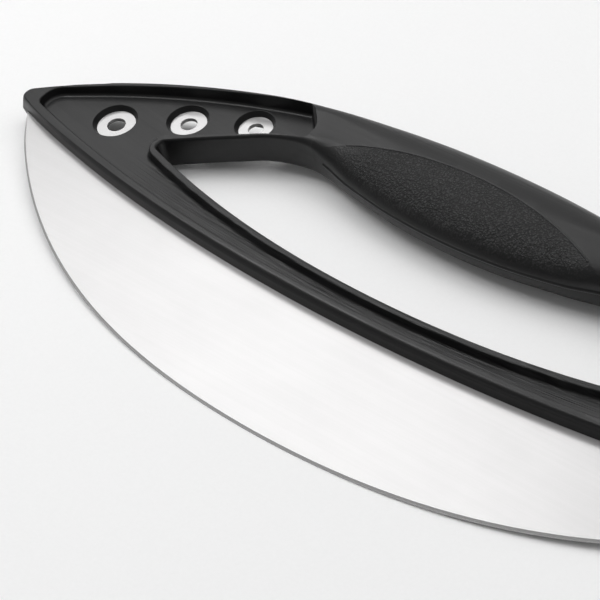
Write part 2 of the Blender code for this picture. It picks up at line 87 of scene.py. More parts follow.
@dataclass(frozen=True)
class Plan:
    """Lines of the cutter in plan, and how thick the handle is over them."""

    half_length: float = 180.0 * MM
    crown: float = 85.0 * MM
    arch_end: float = 29.15 * MM
    bar_low_rise: float = 19.1 * MM
    bar_low_flick: float = 3.5 * MM
    bar_width: float = 12.5 * MM
    bar_top_rise: float = 34.2 * MM
    bar_top_flick: float = 10.7 * MM
    frame_half: float = 6.5 * MM
    grip_half: float = 12.6 * MM
    nose_lean: float = 2.3 * MM
    nose_lean_start: float = 0.911
    bar_lean: float = 0.5 * MM
    opening_lean: float = 0.15 * MM
    edge_radius: float = 1.3 * MM
    bar_edge_radius: float = 2.3 * MM
    bar_edge_run: float = 0.1
    crease_crown: float = 70.4 * MM
    crease_radius: float = 141.0 * MM
    crease_shift: float = 2.5 * MM
    crease_lip: float = 1.7 * MM
    crease_blend: float = 0.5
    rock_centre: float = 69.6 * MM
    rock_radius: float = 120.1 * MM
    rock_ease: float = 1.6 * MM
    tip_inset: float = 3.1 * MM
    tip_curl: float = 100.0 * MM
    tip_curl_angle: float = 1.2
    opening_top: Shares = (
        (0.000, 0.558), (0.133, 0.572), (0.256, 0.615), (0.333, 0.661), (0.378, 0.676),
        (0.422, 0.659), (0.467, 0.622), (0.511, 0.5635), (0.556, 0.501), (0.622, 0.405),
        (0.690, 0.300),
    )
    arch_swell: Shares = (
        (0.000, 1.00), (0.222, 0.87), (0.389, 0.62), (0.556, 0.35), (0.694, 0.23),
        (0.833, 0.14), (0.933, 0.03), (1.000, 0.00),
    )
    arch_rounding: Shares = (
        (0.000, 0.950), (0.139, 0.915), (0.278, 0.820), (0.389, 0.620), (0.500, 0.220),
        (0.611, 0.070), (0.722, 0.000),
    )
    opening_swell: Shares = (
        (0.000, 1.00), (0.111, 0.96), (0.222, 0.83), (0.306, 0.62), (0.389, 0.26),
        (0.444, 0.08), (0.489, 0.00), (0.611, 0.00),
    )
    opening_rounding: Shares = (
        (0.000, 0.955), (0.111, 0.965), (0.222, 0.960), (0.306, 0.740), (0.389, 0.220),
        (0.444, 0.050), (0.489, 0.000), (0.611, 0.000),
    )

    def smooth(self, shares: Shares, x: float) -> float:
        """Value at x of a smooth curve through a table of shares.

        Args:
            shares: Pairs of a share of the half length and the value there.
            x: Distance from the middle line, of either sign.

        Returns:
            The curve's value.
        """
        points = [(-shares[1][0], shares[1][1])] + list(shares)
        x = min(abs(x) / self.half_length, points[-1][0])
        index = 1
        while index < len(points) - 2 and x > points[index + 1][0]:
            index += 1
        before, start, end = points[index - 1], points[index], points[index + 1]
        after = points[index + 2] if index + 2 < len(points) else end
        span = end[0] - start[0]
        share = (x - start[0]) / span
        slope_start = (end[1] - before[1]) / (end[0] - before[0]) * span
        slope_end = (after[1] - start[1]) / (after[0] - start[0]) * span
        square, cube = share ** 2, share ** 3
        return (
            (2 * cube - 3 * square + 1) * start[1]
            + (cube - 2 * square + share) * slope_start
            + (3 * square - 2 * cube) * end[1]
            + (cube - square) * slope_end
        )

    def arch_y(self, x: float) -> float:
        """Height of the arch's outer line.

        Args:
            x: Distance from the middle line.

        Returns:
            Plan height.
        """
        drop = self.crown - self.arch_end
        radius = (self.half_length ** 2 + drop ** 2) / (2 * drop)
        return self.crown - radius + math.sqrt(radius ** 2 - x ** 2)

    def bar_low_y(self, x: float) -> float:
        """Height of the line where the blade leaves the bar."""
        share = x / self.half_length
        return self.bar_low_rise * share ** 2 + self.bar_low_flick * share ** 4

    def bar_top_y(self, x: float) -> float:
        """Height of the opening's lower line."""
        share = x / self.half_length
        return self.bar_width + self.bar_top_rise * share ** 2 + self.bar_top_flick * share ** 4

    def opening_top_y(self, x: float) -> float:
        """Height of the opening's upper line."""
        return self.crown * self.smooth(self.opening_top, x)

    def crease_y(self, x: float) -> float:
        """Height of the line where the soft grip meets the spine and the arms.

        Args:
            x: Distance from the middle line, less than none on the left.

        Returns:
            Plan height.
        """
        drop = math.sqrt(self.crease_radius ** 2 - (x + self.crease_shift) ** 2)
        arch = self.crease_crown - self.crease_radius + drop
        edge = self.opening_top_y(x) + self.crease_lip
        spread = math.hypot(arch - edge, self.crease_blend * self.crease_lip)
        return (arch + edge + spread) / 2

    def tip_turn(self) -> Pair:
        """Angle and reach of the blade's tip on the bar's lower line.

        Returns:
            Angle from straight down, and distance from the rocker's centre.
        """
        x = self.half_length - self.tip_inset
        run = Vector((x, self.rock_centre - self.bar_low_y(x)))
        return math.atan2(run.x, run.y), run.length

    def edge_ease(self, angle: float) -> float:
        """How far the edge draws in towards the tips."""
        curl = self.tip_curl * max(0, angle - self.tip_curl_angle) ** 2
        return self.rock_ease * angle ** 4 + curl

    def edge_point(self, angle: float) -> Vector:
        """Point of the cutting edge, by its angle from straight down.

        Args:
            angle: Angle at the rocker's centre.

        Returns:
            Plan point.
        """
        tip_angle, tip_reach = self.tip_turn()
        spread = (tip_reach + self.edge_ease(tip_angle) - self.rock_radius) / tip_angle ** 2
        reach = self.rock_radius + spread * angle ** 2 - self.edge_ease(angle)
        return Vector((reach * math.sin(angle), self.rock_centre - reach * math.cos(angle)))

    def middle(self) -> float:
        """Plan height of the frame's origin."""
        return (self.crown + self.edge_point(0).y) / 2

    def growth(self, point: Vector, arch_side: Shares, opening_side: Shares) -> float:
        """How far the handle has grown into the grip at a plan point.

        Args:
            point: Plan point of the handle.
            arch_side: Growth along the arch's outer line.
            opening_side: Growth along the opening's upper line.

        Returns:
            A share from 0 to 1.
        """
        x = abs(point.x)
        under = self.opening_top_y(x)
        if point.y < (self.bar_top_y(x) + under) / 2:
            return 0.0
        across = min(1, max(0, (point.y - under) / (self.arch_y(x) - under)))
        near, far = self.smooth(opening_side, x), self.smooth(arch_side, x)
        return near + (far - near) * across

    def face_height(self, point: Vector) -> float:
        """Height of the front face above the middle of the thickness."""
        rise = self.grip_half - self.frame_half
        return self.frame_half + rise * self.growth(point, self.arch_swell, self.opening_swell)

    def rounding(self, point: Vector) -> float:
        """How round the section's corner is at a plan point, from 0 to 1."""
        return self.growth(point, self.arch_rounding, self.opening_rounding)

    def corner_radius(self, point: Vector) -> float:
        """Least radius of the section's corner, larger along the blade.

        Args:
            point: Plan point of the handle's outline.

        Returns:
            The radius.
        """
        start = self.nose_lean_start * self.half_length
        share = min(1, max(0, (start - abs(point.x)) / (self.bar_edge_run * start)))
        grown = self.edge_radius + (self.bar_edge_radius - self.edge_radius) * share
        return grown if point.y < self.bar_top_y(point.x) - self.bar_width / 2 else self.edge_radius

    def outer_lean(self, point: Vector) -> float:
        """How far the outer wall leans in from mid thickness to its face.

        Args:
            point: Plan point of the outer line.

        Returns:
            The lean.
        """
        start = self.nose_lean_start * self.half_length
        share = min(1, max(0, (abs(point.x) - start) / (self.half_length - start)))
        base = self.bar_lean if point.y < self.bar_top_y(point.x) else 0
        return base + (self.nose_lean - base) * share ** 2

    def inner_lean(self, point: Vector) -> float:
        """How far the opening's wall leans in from mid thickness to its face."""
        return self.opening_lean * (1 - min(1, self.rounding(point)))


PLAN = Plan()


def frame_shift() -> Vector:
    """Move from the plan's origin at mid thickness to the frame's origin."""
    return Vector((0, -PLAN.middle(), PLAN.grip_half))


def nearest(line: Callable[[float], float], point: Vector, low: float, high: float) -> Vector:
    """Point of a plan line that lies nearest to a point.

    Args:
        line: Height of the line at x.
        point: Point to come near to.
        low: Least x.
        high: Greatest x.

    Returns:
        The nearest point between the two x values.
    """
    for _ in range(SEARCH_STEPS):
        third = (high - low) / 3
        left, right = low + third, high - third
        gap_left = (Vector((left, line(left))) - point).length
        gap_right = (Vector((right, line(right))) - point).length
        low, high = (low, right) if gap_left < gap_right else (left, high)
    x = (low + high) / 2
    return Vector((x, line(x)))


@dataclass(frozen=True)
class Fillet:
    """Circle that touches two closing plan lines."""

    upper: Callable[[float], float]
    lower: Callable[[float], float]
    radius: float
    inner: float
    outer: float
    slope_step: float = 0.07 * MM

    def solve(self) -> tuple[Vector, Vector, Vector]:
        """Find the circle's centre, its upper and its lower touching point.

        Returns:
            Plan points of the centre and of both touches.
        """
        step = self.slope_step
        reach = (self.outer - self.inner) / 2
        low, high = self.inner, self.outer
        for _ in range(SEARCH_STEPS):
            x = (low + high) / 2
            rise = self.upper(x + step) - self.upper(x - step)
            slope = Vector((2 * step, rise)).normalized()
            touch = Vector((x, self.upper(x)))
            centre = touch + Vector((slope.y, -slope.x)) * self.radius
            foot = nearest(self.lower, centre, centre.x - reach, centre.x + reach)
            outside = (foot - centre).length > self.radius and foot.y < centre.y
            low, high = (x, high) if outside else (low, x)
        return centre, touch, foot

    def points(self, steps: int) -> Loop:
        """The fillet's points from its upper to its lower touching point.

        Args:
            steps: Number of spans.

        Returns:
            Plan points of the arc.
        """
        centre, touch, foot = self.solve()
        start = math.atan2(touch.y - centre.y, touch.x - centre.x)
        end = math.atan2(foot.y - centre.y, foot.x - centre.x)
        return arc(centre, self.radius, start, end, steps)


def arc(centre: Vector, radius: float, start: float, end: float, steps: int) -> Loop:
    """Points of a circle from one angle to another, ends included."""
    angles = [start + (end - start) * i / steps for i in range(steps + 1)]
    return [centre + radius * Vector((math.cos(a), math.sin(a))) for a in angles]


def round_corner(before: Vector, corner: Vector, after: Vector, radius: float,
                 steps: int) -> Loop:
    """Arc that rounds a corner between two straight runs.

    Args:
        before: Point on the run into the corner.
        corner: The sharp corner.
        after: Point on the run out of the corner.
        radius: Radius of the arc.
        steps: Number of spans.

    Returns:
        Points of the arc.
    """
    back = (before - corner).normalized()
    ahead = (after - corner).normalized()
    half = back.angle(ahead) / 2
    cut = radius / math.tan(half)
    centre = corner + (back + ahead).normalized() * radius / math.sin(half)
    start = corner + back * cut - centre
    end = corner + ahead * cut - centre
    first = math.atan2(start.y, start.x)
    return arc(centre, radius, first, first - start.angle_signed(end), steps)


def offset(points: Loop, distance: float | list[float], closed: bool = True) -> Loop:
    """Move points sideways, to the right of their run for a positive distance.

    Args:
        points: Points of a line or a loop.
        distance: One distance for all points, or one for each.
        closed: Whether the last point joins the first.

    Returns:
        The moved points.
    """
    count = len(points)
    distances = distance if isinstance(distance, list) else [distance] * count
    moved = []
    for i, (point, shift) in enumerate(zip(points, distances)):
        before = points[i - 1] if closed or i else point
        after = points[(i + 1) % count] if closed or i < count - 1 else point
        run = (after - before).normalized()
        moved.append(point + Vector((run.y, -run.x)) * shift)
    return moved


def spaced(points: Loop, least: float) -> Loop:
    """The points without those that lie almost on the one before.

    Args:
        points: Points of a line.
        least: Least distance between neighbours.

    Returns:
        The points that are kept.
    """
    kept = points[:1]
    for point in points[1:]:
        if (point - kept[-1]).length > least:
            kept.append(point)
    return kept


def whole(right_half: Loop) -> Loop:
    """Closed loop from a right half that starts and ends on the middle line."""
    return right_half + [Vector((-p.x, p.y)) for p in reversed(right_half)][1:-1]


def carry_on(before: Vector, last: Vector, x: float) -> Vector:
    """Point at x on the straight line through two points."""
    run = last - before
    return last + run * (x - last.x) / run.x


def height_at(points: Loop, x: float) -> float:
    """Height of a run of points at x.

    Args:
        points: Points of a line.
        x: Where it is read.

    Returns:
        Height of the line there.
    """
    for first, second in zip(points, points[1:]):
        if min(first.x, second.x) <= x <= max(first.x, second.x):
            return first.y + (second.y - first.y) * (x - first.x) / (second.x - first.x)
    return points[-1].y


@dataclass(frozen=True)
class HandleLoops:
    """Outer and inner loops of the handle, point for point, and its sections."""

    nose_radius: float = 3.4 * MM
    corner_radius: float = 3.0 * MM
    square_reach: float = 68.0 * MM
    arch_spread_power: float = 1.7
    bar_spread_power: int = 3
    arch_steps: int = 110
    bar_steps: int = 64
    nose_steps: int = 18
    corner_steps: int = 9

    def nose(self) -> Fillet:
        """Rounded nose of the frame.

        Returns:
            The fillet between the arch and the bar.
        """
        half = PLAN.half_length
        return Fillet(PLAN.arch_y, PLAN.bar_low_y, self.nose_radius,
                      half / 2, half + 2 * self.nose_radius)

    def opening_corner(self) -> Fillet:
        """Rounded corner of the finger opening."""
        return Fillet(PLAN.opening_top_y, PLAN.bar_top_y, self.corner_radius,
                      self.square_reach, PLAN.half_length)

    def halves(self) -> tuple[Loop, Loop]:
        """Right halves of the outer and the inner loop, from the crown to the bar.

        Returns:
            The outer and the inner half, with equal numbers of points.
        """
        nose, corner = self.nose(), self.opening_corner()
        _, nose_touch, nose_foot = nose.solve()
        _, corner_touch, corner_foot = corner.solve()
        outer, inner = [], []
        stretch = nose_touch.x - corner_touch.x
        for i in range(self.arch_steps):
            x = corner_touch.x * i / self.arch_steps
            beyond = max(0, x - self.square_reach) / (corner_touch.x - self.square_reach)
            x_out = x + stretch * beyond ** self.arch_spread_power
            inner.append(Vector((x, PLAN.opening_top_y(x))))
            outer.append(Vector((x_out, PLAN.arch_y(x_out))))
        inner += corner.points(self.nose_steps)
        outer += nose.points(self.nose_steps)
        stretch = nose_foot.x - corner_foot.x
        for i in range(self.bar_steps - 1, -1, -1):
            share = i / self.bar_steps
            x = corner_foot.x * share
            x_out = x + stretch * share ** self.bar_spread_power
            inner.append(Vector((x, PLAN.bar_top_y(x))))
            outer.append(Vector((x_out, PLAN.bar_low_y(x_out))))
        return outer, inner

    def section(self, inner: Vector, outer: Vector, inset: float = 0.0) -> Loop:
        """Closed section of the handle between two plan points.

        Args:
            inner: Point of the opening's line.
            outer: Point of the outer line.
            inset: How far the section is shrunk all round.

        Returns:
            Points of the section, from the top of the outer side round.
        """
        across = (outer - inner).normalized()
        half_width = (outer - inner).length / 2 - inset
        middle = (outer + inner) / 2
        points = []
        for side, end, turns in ((1, outer, (90, 0, -90)), (-1, inner, (-90, 0, 90))):
            radius = min(PLAN.corner_radius(end), half_width / 2)
            height = PLAN.face_height(end) - inset
            share = PLAN.rounding(end)
            wide = radius + (half_width - radius) * share
            tall = radius + (height - radius) * share
            lean = PLAN.outer_lean(end) if side > 0 else PLAN.inner_lean(end)
            for start, stop in zip(turns, turns[1:]):
                if start == 0:
                    wall = middle + across * side * half_width
                    points.append(Vector((wall.x, wall.y, 0)))
                up = 1 if start + stop > 0 else -1
                for i in range(self.corner_steps + 1):
                    angle = math.radians(start + (stop - start) * i / self.corner_steps)
                    depth = height - tall * (1 - abs(math.sin(angle)))
                    inward = wide * (1 - math.cos(angle)) + lean * depth / height
                    spot = middle + across * side * (half_width - inward)
                    points.append(Vector((spot.x, spot.y, up * depth)))
        return points


# Meshes


def add_object(name: str, data: bpy.types.ID) -> Piece:
    """Object in the scene for a mesh, a lamp or a camera.

    Args:
        name: Name of the object.
        data: What it holds.

    Returns:
        The object.
    """
    item = bpy.data.objects.new(name, data)
    bpy.context.scene.collection.objects.link(item)
    return item


def mesh_object(name: str, shell: bmesh.types.BMesh) -> Piece:
    """Object in the scene for a bmesh, which is freed.

    Args:
        name: Name of the object and its mesh.
        shell: The bmesh, in the frame.

    Returns:
        The object.
    """
    mesh = bpy.data.meshes.new(name)
    shell.to_mesh(mesh)
    shell.free()
    return add_object(name, mesh)


def solid(name: str, bodies: Sequence[Sequence[Loop]], closed: bool = False) -> Piece:
    """Closed skins over equal rings of points, moved from the plan to the frame.

    Args:
        name: Name of the object.
        bodies: Rings of points of each body, all of the same length.
        closed: Whether the last ring joins the first; else both ends get caps.

    Returns:
        The object, with its normals outward.
    """
    shell = bmesh.new()
    for rings in bodies:
        rows = [[shell.verts.new(point) for point in ring] for ring in rings]
        for first, second in zip(rows, rows[1:] + rows[:1] * closed):
            for i in range(len(first)):
                j = (i + 1) % len(first)
                shell.faces.new((first[i], first[j], second[j], second[i]))
        if not closed:
            shell.faces.new(list(reversed(rows[0])))
            shell.faces.new(rows[-1])
    bmesh.ops.translate(shell, vec=frame_shift(), verts=shell.verts)
    bmesh.ops.recalc_face_normals(shell, faces=shell.faces)
    return mesh_object(name, shell)


def plugs(name: str, places: Sequence[Vector], profiles: Sequence[Sequence[Pair]],
          sides: int) -> Piece:
    """Separate round plugs.

    Args:
        name: Name of the object.
        places: Middle of each plug in plan.
        profiles: Radii and heights of each plug, from one end to the other.
        sides: Number of sides.

    Returns:
        The object.
    """
    return solid(name, [
        [level(arc(place, radius, 0, math.tau, sides)[:-1], z) for radius, z in profile]
        for place, profile in zip(places, profiles)])


def level(points: Loop, z: float) -> Loop:
    """Plan points lifted to one height."""
    return [Vector((p.x, p.y, z)) for p in points]


def even_steps(reach: float, steps: int) -> list[float]:
    """Evenly spaced values of x, from the left reach to the right one."""
    return [reach * (2 * i / steps - 1) for i in range(steps + 1)]


def quarter_round(radius: float, steps: int) -> list[Pair]:
    """Rounding by a quarter of a circle.

    Args:
        radius: Radius of the circle.
        steps: Number of spans.

    Returns:
        Pairs of the run so far and the rise that is left.
    """
    angles = [math.radians(90 * i / steps) for i in range(steps + 1)]
    return [(radius * (1 - math.cos(a)), radius * (1 - math.sin(a))) for a in angles]


def combine(item: Piece, tool: Piece, operation: str = "DIFFERENCE") -> None:
    """Cut or trim an object by a tool, which is removed.

    Args:
        item: Object that keeps its name.
        tool: Object that cuts.
        operation: DIFFERENCE or INTERSECT.
    """
    step = item.modifiers.new(tool.name, "BOOLEAN")
    step.operation = operation
    step.solver = "EXACT"
    step.object = tool
    settle(item)
    bpy.data.objects.remove(tool, do_unlink=True)


def settle(item: Piece) -> None:
    """Make an object's modifiers final.

    Args:
        item: Object with modifiers.
    """
    graph = bpy.context.evaluated_depsgraph_get()
    mesh = bpy.data.meshes.new_from_object(item.evaluated_get(graph))
    item.modifiers.clear()
    item.data = mesh


def shade(item: Piece, sharp_degrees: float) -> None:
    """Shade an object smooth, with even normals and sharp edges above an angle.

    Args:
        item: Object to shade.
        sharp_degrees: Least angle of a sharp edge.
    """
    item.data.shade_smooth()
    item.data.set_sharp_from_angle(angle=math.radians(sharp_degrees))
    even = item.modifiers.new("even_normals", "WEIGHTED_NORMAL")
    even.keep_sharp = True
    settle(item)


# Finishes


@dataclass(frozen=True)
class Grain:
    """Fractal noise: patches per metre, octaves, their roughness and a stretch."""

    scale: float
    detail: float
    roughness: float
    stretch: Triple = (1, 1, 1)


@dataclass
class Graph:
    """Node tree of a material under construction."""

    name: str
    material: Finish = field(init=False)

    def __post_init__(self) -> None:
        """Make the material with an empty principled surface."""
        self.material = bpy.data.materials.new(self.name)
        self.material.use_nodes = True

    def dress(self, looks: dict[str, object]) -> Finish:
        """Feed the principled shader.

        Args:
            looks: Socket names and what they get, a value or another socket.

        Returns:
            The finished material.
        """
        shader = self.material.node_tree.nodes["Principled BSDF"]
        for key, value in looks.items():
            self.feed(shader.inputs[key], value)
        return self.material

    def node(self, kind: str, inputs: dict | None = None, **settings: object) -> bpy.types.Node:
        """Add a node.

        Args:
            kind: Blender's name of the node type.
            inputs: Socket names and what they get, a value or another socket.
            **settings: Properties of the node.

        Returns:
            The node.
        """
        made = self.material.node_tree.nodes.new(kind)
        for key, value in settings.items():
            setattr(made, key, value)
        for key, value in (inputs or {}).items():
            self.feed(made.inputs[key], value)
        return made

    def feed(self, socket: Socket, value: object) -> None:
        """Link a socket to another one, or give it a plain value.

        Args:
            socket: Input socket.
            value: Value, or the socket that it comes from.
        """
        if isinstance(value, bpy.types.NodeSocket):
            self.material.node_tree.links.new(value, socket)
        else:
            socket.default_value = value

    def maths(self, operation: str, *values: object) -> Socket:
        """Result of one sum on values or sockets."""
        return self.node("ShaderNodeMath", dict(enumerate(values)), operation=operation).outputs[0]

    def stretched(self, stretch: Triple = (1, 1, 1), vector: Socket | None = None) -> Socket:
        """Object coordinates, or another vector, times a stretch."""
        place = self.node("ShaderNodeTexCoord").outputs["Object"] if vector is None else vector
        return self.node("ShaderNodeMapping", {"Vector": place, "Scale": stretch}).outputs["Vector"]

    def part(self, axis: str) -> Socket:
        """One of the object coordinates."""
        return self.node("ShaderNodeSeparateXYZ", {"Vector": self.stretched()}).outputs[axis]

    def reach(self) -> Socket:
        """Distance from the cutter's middle line."""
        return self.maths("ABSOLUTE", self.part("X"))

    def depth(self) -> Socket:
        """Distance from the middle of the cutter's thickness."""
        return self.maths("ABSOLUTE", self.maths("ADD", self.part("Z"), -PLAN.grip_half))

    def noise(self, grain: Grain, vector: Socket | None = None) -> Socket:
        """Fractal noise.

        Args:
            grain: How fine and how stretched it is.
            vector: What it is laid on, the object coordinates where none is given.

        Returns:
            Socket with the noise.
        """
        return self.node("ShaderNodeTexNoise", {
            "Vector": self.stretched(grain.stretch, vector), "Scale": grain.scale,
            "Detail": grain.detail, "Roughness": grain.roughness}).outputs["Fac"]

    def spread(self, value: Socket, result: Pair, source: Pair = (0.25, 0.75)) -> Socket:
        """Map a value from one range to another, and hold it there.

        Args:
            value: Socket with the value.
            result: What the ends of the source range become.
            source: Range that is read.

        Returns:
            Socket with the new value.
        """
        return self.node("ShaderNodeMapRange", {
            "Value": value, "From Min": source[0], "From Max": source[1],
            "To Min": result[0], "To Max": result[1]}).outputs["Result"]

    def mix(self, share: Socket, first: Triple | Socket, second: Triple | Socket) -> Socket:
        """Blend two colours.

        Args:
            share: Share of the second colour.
            first: Colour at a share of 0.
            second: Colour at a share of 1.

        Returns:
            Socket with the blend.
        """
        made = self.node("ShaderNodeMix", {"Factor": share}, data_type="RGBA")
        for index, colour in zip(MIX_COLOURS, (first, second)):
            self.feed(made.inputs[index], (*colour, 1) if isinstance(colour, tuple) else colour)
        return made.outputs[MIX_RESULT]

    def bump(self, height: Socket, depth: float, **under: Socket) -> Socket:
        """Relief from a height that is a share of a depth in metres."""
        return self.node("ShaderNodeBump", {
            "Height": height, "Distance": depth, **under}).outputs["Normal"]


@dataclass(frozen=True)
class SatinSteel:
    """Rolled stainless steel with fine lengthwise grinding."""

    light: Triple = (0.525, 0.520, 0.520)
    dark: Triple = (0.490, 0.485, 0.485)
    lines: Grain = Grain(1.0, 2.0, 0.6, (5.0, 1300.0, 1300.0))
    line_range: Pair = (0.42, 0.58)
    line_share: float = 0.25
    clouds: Grain = Grain(22.0, 5.0, 0.6, (1, 1.6, 1))
    marks: Grain = Grain(60.0, 3.0, 0.5, (1, 2.2, 1))
    patch_range: Pair = (0.3, 0.7)
    roughness: Pair = (0.244, 0.256)
    mark_roughness: Pair = (-0.012, 0.012)
    metallic: float = 0.5
    relief: float = 0.01 * MM

    def make(self, name: str) -> Finish:
        """Build the material.

        Args:
            name: Name of the material.

        Returns:
            The material.
        """
        graph = Graph(name)
        lines = graph.spread(graph.noise(self.lines), UNIT, self.line_range)
        marks = graph.noise(self.marks)
        clouds = graph.spread(graph.noise(self.clouds), (0, 1 - self.line_share), self.patch_range)
        tone = graph.maths("ADD", clouds, graph.spread(lines, (0, self.line_share), UNIT))
        return graph.dress({
            "Base Color": graph.mix(tone, self.light, self.dark),
            "Roughness": graph.maths(
                "ADD", graph.spread(lines, self.roughness, UNIT),
                graph.spread(marks, self.mark_roughness, self.patch_range)),
            "Normal": graph.bump(marks, self.relief),
            "Metallic": self.metallic,
        })


GROUND_STEEL = SatinSteel(lines=Grain(1.0, 2.0, 0.6, (900.0, 14.0, 900.0)),
                          roughness=(0.324, 0.336))


@dataclass(frozen=True)
class MouldedPlastic:
    """Satin black moulded plastic with a fine spark-eroded surface and a painted highlight on its
    edges.
    """

    dark: Triple = (0.006, 0.006, 0.0062)
    light: Triple = (0.011, 0.011, 0.0113)
    # Lighter colour of the tool marks, and of the painted highlight on convex edges.
    scuff_and_highlight: Triple = (0.055, 0.055, 0.056)
    clouds: Grain = Grain(38.0, 5.0, 0.6)
    fine: Grain = Grain(2600.0, 2.0, 0.5)
    fine_relief: float = 0.012 * MM
    roughness: Pair = (0.32, 0.46)
    roughness_range: Pair = (0.3, 0.7)
    specular: float = 0.36
    # Painted highlight on convex edges: its pointiness range, the depth above the recess floor
    # where it starts, and its patches.
    edge_highlight: Pair = (0.0, 0.7)
    highlight_pointiness: Pair = (0.515, 0.60)
    highlight_depth: Pair = (3.1 * MM, 3.6 * MM)
    highlight_patches: Pair = (0.3, 1.0)
    flow: Grain = Grain(1.0, 3.0, 0.65, (12.0, 1000.0, 300.0))
    flow_range: Pair = (0.42, 0.62)
    flow_bend: float = 0.62
    flow_bottom: Pair = (-15.8 * MM, -13.8 * MM)
    flow_top: Pair = (-3.0 * MM, 1.0 * MM)
    flow_ends: Pair = (105.0 * MM, 125.0 * MM)
    flow_relief: float = 0.12 * MM
    flow_scuff: float = 0.35

    def make(self, name: str) -> Finish:
        """Build the material.

        Args:
            name: Name of the material.

        Returns:
            The material.
        """
        graph = Graph(name)
        clouds = graph.noise(self.clouds)
        marks, shown = self.flow_marks(graph)
        lines = graph.maths("MULTIPLY", graph.spread(marks, UNIT, self.flow_range), shown)
        # Painted highlight on convex edges, from pointiness, kept off the recess floor and broken
        # into patches.
        edge = graph.node("ShaderNodeNewGeometry").outputs["Pointiness"]
        edge_highlight = graph.maths("MULTIPLY", graph.spread(edge, self.edge_highlight, self.highlight_pointiness),
                           graph.spread(graph.depth(), UNIT, self.highlight_depth))
        patchy_highlight = graph.maths("MULTIPLY", edge_highlight, graph.spread(clouds, self.highlight_patches))
        body = graph.mix(graph.spread(clouds, UNIT), self.dark, self.light)
        # Tool marks and the painted edge highlight both blend the body towards the lighter colour.
        scuffs_and_highlights = graph.maths("MULTIPLY_ADD", lines, self.flow_scuff, patchy_highlight)
        return graph.dress({
            "Base Color": graph.mix(scuffs_and_highlights, body, self.scuff_and_highlight),
            "Roughness": graph.spread(marks, self.roughness, self.roughness_range),
            "Normal": graph.bump(lines, self.flow_relief,
                                 Normal=graph.bump(graph.noise(self.fine), self.fine_relief)),
            "Specular IOR Level": self.specular,
        })

    def flow_marks(self, graph: Graph) -> tuple[Socket, Socket]:
        """Lengthwise tool marks that follow the bend of the bar.

        Args:
            graph: Material under construction.

        Returns:
            Sockets with the marks and with the share of them that shows.
        """
        square = graph.maths("MULTIPLY", graph.part("X"), graph.part("X"))
        height = graph.maths("MULTIPLY_ADD", square, -self.flow_bend, graph.part("Y"))
        bent = graph.node("ShaderNodeCombineXYZ", {
            "X": graph.part("X"), "Y": height, "Z": graph.part("Z")}).outputs["Vector"]
        shown = graph.spread(graph.reach(), FALLING, self.flow_ends)
        for share in (graph.spread(height, UNIT, self.flow_bottom),
                      graph.spread(height, FALLING, self.flow_top)):
            shown = graph.maths("MULTIPLY", shown, share)
        return graph.noise(self.flow, bent), shown


@dataclass(frozen=True)
class SoftRubber:
    """Soft black rubber with a leather-like pebble grain, its pebble crests painted lighter as a
    highlight.
    """

    dark: Triple = (0.005, 0.005, 0.0052)
    plain: Triple = (0.006, 0.006, 0.0062)
    # The crest colour is a painted highlight on the tops of the pebbles.
    crest: Triple = (0.075, 0.075, 0.076)
    crest_highlight_range: Pair = (0.55, 1.25)
    pebble: float = 1350.0
    pebble_range: Pair = (0.0, 0.75)
    warp: Grain = Grain(675.0, 2.0, 0.6)
    warp_reach: float = 1.1 * MM
    fine: Grain = Grain(2565.0, 3.0, 0.6)
    fine_height: Pair = (0.0, 0.5)
    relief: float = 0.34 * MM
    roughness: Pair = (0.36, 0.52)
    specular: float = 0.38
    grain_ends: Pair = (40.0 * MM, 58.0 * MM)
    grain_belly: Pair = (3.5 * MM, 9.5 * MM)

    def make(self, name: str) -> Finish:
        """Build the material.

        Args:
            name: Name of the material.

        Returns:
            The material.
        """
        graph = Graph(name)
        fine = graph.noise(self.fine)
        height = graph.maths("ADD", graph.spread(self.pebbles(graph), FALLING, self.pebble_range),
                             graph.spread(fine, self.fine_height))
        # The grain and its painted crest highlight fade out towards the ends and near mid
        # thickness, where the rubber stays plain.
        shown = graph.maths("MULTIPLY", graph.spread(graph.reach(), FALLING, self.grain_ends),
                            graph.spread(graph.depth(), UNIT, self.grain_belly))
        # Painted highlight: pebble crests blend towards the light crest colour.
        grain_with_highlights = graph.mix(graph.spread(height, UNIT, self.crest_highlight_range), self.dark, self.crest)
        return graph.dress({
            "Base Color": graph.mix(shown, self.plain, grain_with_highlights),
            "Roughness": graph.spread(fine, self.roughness),
            "Normal": graph.bump(graph.maths("MULTIPLY", height, shown), self.relief),
            "Specular IOR Level": self.specular,
        })

    def pebbles(self, graph: Graph) -> Socket:
        """Distance from the middle of each pebble, on warped coordinates.

        Args:
            graph: Material under construction.

        Returns:
            Socket with the distance, in pebbles.
        """
        shift = graph.node("ShaderNodeVectorMath", {
            0: graph.noise(self.warp), "Scale": self.warp_reach}, operation="SCALE")
        warped = graph.node("ShaderNodeVectorMath", {
            0: graph.stretched(), 1: shift.outputs["Vector"]}, operation="ADD")
        return graph.node("ShaderNodeTexVoronoi", {
            "Vector": warped.outputs["Vector"], "Scale": self.pebble}).outputs["Distance"]


@dataclass(frozen=True)
class StudioPaper:
    """Seamless white paper under the cutter."""

    colour: Triple = (0.90, 0.90, 0.90)
    shade: Triple = (0.88, 0.88, 0.88)
    fibres: Grain = Grain(900.0, 3.0, 0.5)
    roughness: Pair = (0.85, 0.95)
    specular: float = 0.1
    lift: float = 0.03

    def make(self, name: str) -> Finish:
        """Build the material.

        Args:
            name: Name of the material.

        Returns:
            The material.
        """
        graph = Graph(name)
        fibres = graph.noise(self.fibres)
        seen = graph.node("ShaderNodeLightPath").outputs["Is Camera Ray"]
        return graph.dress({
            "Base Color": graph.mix(graph.spread(fibres, UNIT), self.colour, self.shade),
            "Roughness": graph.spread(fibres, self.roughness),
            "Specular IOR Level": self.specular,
            "Emission Color": (1, 1, 1, 1),
            "Emission Strength": graph.spread(seen, (0, self.lift), UNIT),
        })


# Swept ribs


